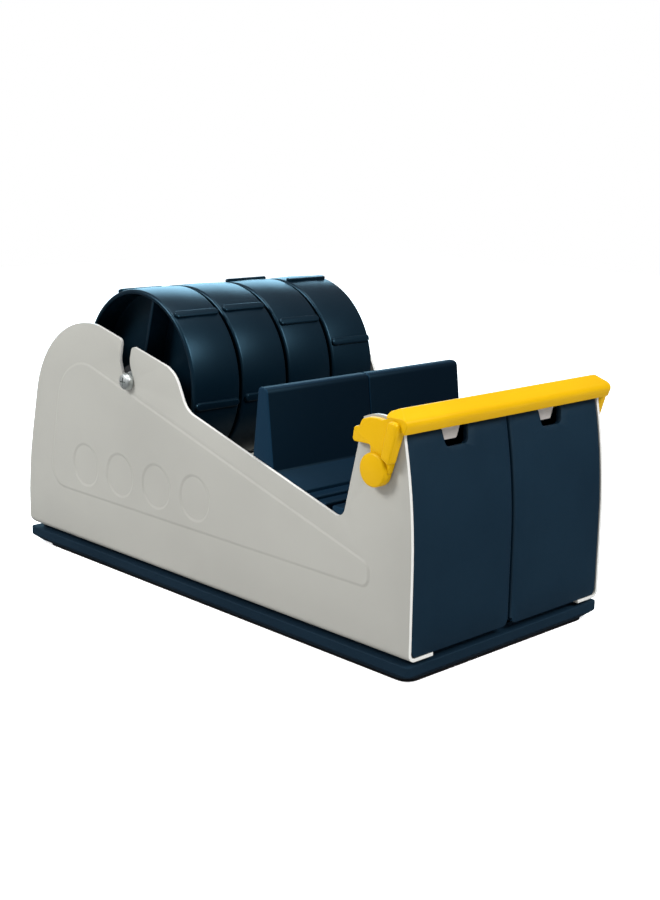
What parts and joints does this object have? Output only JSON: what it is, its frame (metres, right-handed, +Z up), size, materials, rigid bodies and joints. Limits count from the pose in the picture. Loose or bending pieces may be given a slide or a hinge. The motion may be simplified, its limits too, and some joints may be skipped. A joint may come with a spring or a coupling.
{
  "type": "multi-roll tape dispenser",
  "caption": "Bench tape dispenser: folded steel body on a plastic base, core wheels on a lift-out axle, tape lanes with toothed blades and a swinging guard bar.",
  "frame": {"origin": "on the table, under the middle of the dispenser's box", "axes": "+Z up, -Y to the front where the blades are, +X to the right as seen from the front"},
  "size_m": [0.1166, 0.235, 0.122],
  "materials": {
    "grey_paint": "smooth light grey powder coat",
    "navy_plastic": "satin navy moulded plastic",
    "guard_yellow": "satin-gloss yellow moulded plastic",
    "zinc": "bright zinc plate",
    "blade_steel": "plain ground blade steel",
    "pad_rubber": "matt black rubber sheet",
    "nylon": "natural nylon"
  },
  "bodies": {
    "frame": {"steel_body": "grey_paint", "base_tray": "navy_plastic", "foot_pad": "pad_rubber", "base_screws": "zinc", "tape_insert_left": "navy_plastic", "tape_insert_right": "navy_plastic", "insert_screws": "zinc", "front_panel_left": "navy_plastic", "front_panel_right": "navy_plastic", "panel_screws": "zinc", "blade_left": "blade_steel", "blade_right": "blade_steel", "blade_screws": "zinc"},
    "spindle": {"axle_rod": "zinc", "axle_screws": "zinc", "axle_spacers": "nylon"},
    "guard": {"guard": "guard_yellow"},
    "wheel_1": {"core_wheel_1": "navy_plastic"},
    "wheel_2": {"core_wheel_2": "navy_plastic"},
    "wheel_3": {"core_wheel_3": "navy_plastic"},
    "wheel_4": {"core_wheel_4": "navy_plastic"}
  },
  "joints": [
    {"name": "guard_swing", "type": "hinge", "parent": "frame", "child": "guard", "pos_m": [0, -0.1023, 0.0738], "axis": [1, 0, 0], "range_deg": [0, 80]},
    {"name": "spindle_lift", "type": "slide", "parent": "frame", "child": "spindle", "axis": [0, 0.1191, 0.9929], "range_m": [0, 0.06]},
    {"name": "wheel_1_spin", "type": "hinge", "parent": "spindle", "child": "wheel_1", "pos_m": [0, 0.0395, 0.0842], "axis": [1, 0, 0], "continuous": true},
    {"name": "wheel_2_spin", "type": "hinge", "parent": "spindle", "child": "wheel_2", "pos_m": [0, 0.0395, 0.0842], "axis": [1, 0, 0], "continuous": true},
    {"name": "wheel_3_spin", "type": "hinge", "parent": "spindle", "child": "wheel_3", "pos_m": [0, 0.0395, 0.0842], "axis": [1, 0, 0], "continuous": true},
    {"name": "wheel_4_spin", "type": "hinge", "parent": "spindle", "child": "wheel_4", "pos_m": [0, 0.0395, 0.0842], "axis": [1, 0, 0], "continuous": true}
  ]
}
